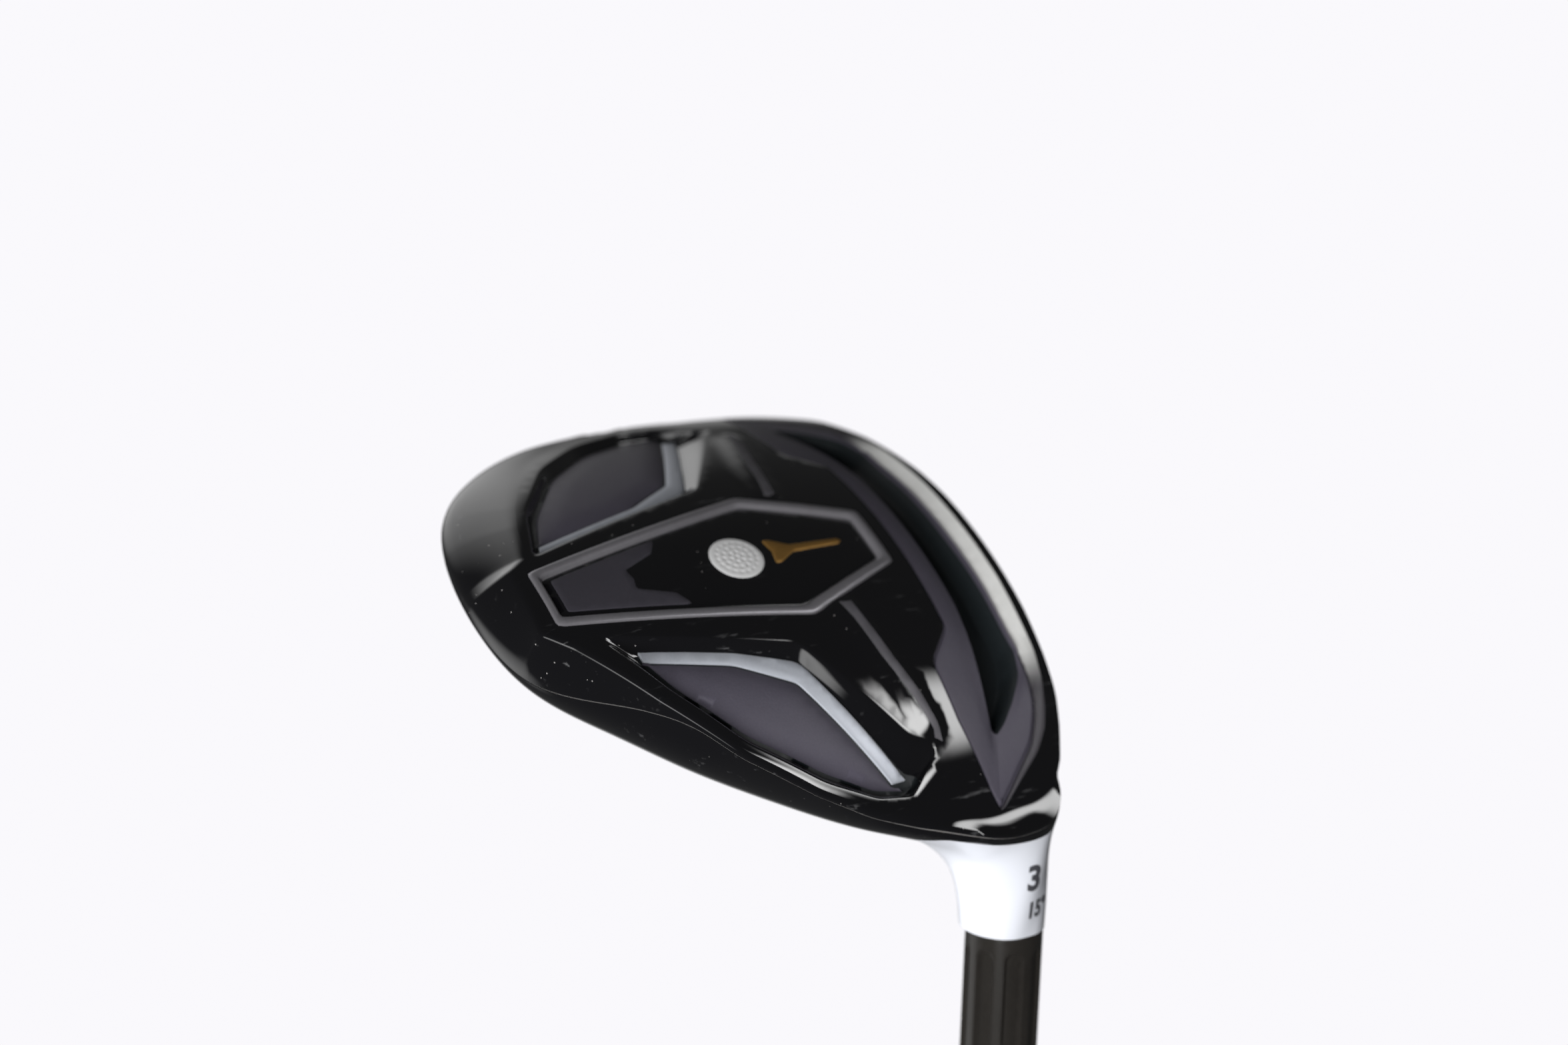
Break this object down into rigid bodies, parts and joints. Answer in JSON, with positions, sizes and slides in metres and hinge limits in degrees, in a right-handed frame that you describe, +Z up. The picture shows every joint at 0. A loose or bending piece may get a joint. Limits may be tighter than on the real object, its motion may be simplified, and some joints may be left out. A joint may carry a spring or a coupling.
{
  "type": "golf fairway wood",
  "caption": "Complete right-handed fairway wood: hollow head with slotted cambered sole and badge, fluted bonded hosel, tapered shaft and rubber grip, set at address.",
  "frame": {"origin": "the point on the ground plane where the cambered sole touches it, midway across the sole badge", "axes": "+Z up from the ground, -Y towards the target (the face looks that way, leaning back by its loft), +X towards the heel, so the shaft leans towards +X at its lie angle"},
  "size_m": [0.6721, 0.0932, 0.9446],
  "materials": {
    "gloss_black_paint": "gloss black paint on cast stainless steel; the neck and the front of the crown are gloss white",
    "satin_steel": "satin steel with score lines",
    "satin_pad": "fine-grained satin charcoal",
    "slot_polymer": "satin black",
    "satin_nickel": "dark satin nickel",
    "gloss_black_plastic": "gloss black",
    "adhesive": "cured adhesive",
    "white_enamel": "white enamel",
    "gold_enamel": "gold enamel",
    "silver_stripe": "light silver-grey",
    "brass": "turned",
    "graphite": "clear-coated dark graphite",
    "paper_tape": "masking tape",
    "grip_rubber": "black rubber with moulded tread"
  },
  "bodies": {
    "root": {"head_body": "gloss_black_paint", "face_plate": "satin_steel", "crown": "gloss_black_paint", "front_pad": "satin_pad", "slot_filler": "slot_polymer", "badge_bezel": "satin_nickel", "badge_plate": "gloss_black_plastic", "badge_adhesive": "adhesive", "badge_inlay": "satin_pad", "emblem_ball": "white_enamel", "emblem_tee": "gold_enamel", "heel_pad": "satin_pad", "toe_pad": "satin_pad", "heel_stripe": "silver_stripe", "toe_stripe": "silver_stripe", "hot_melt_glue": "adhesive", "hosel_plug": "slot_polymer", "tip_weight": "brass", "epoxy_bond": "adhesive", "ferrule": "gloss_black_plastic", "shaft": "graphite", "grip_tape": "paper_tape", "grip": "grip_rubber", "grip_cap": "grip_rubber"}
  },
  "joints": []
}
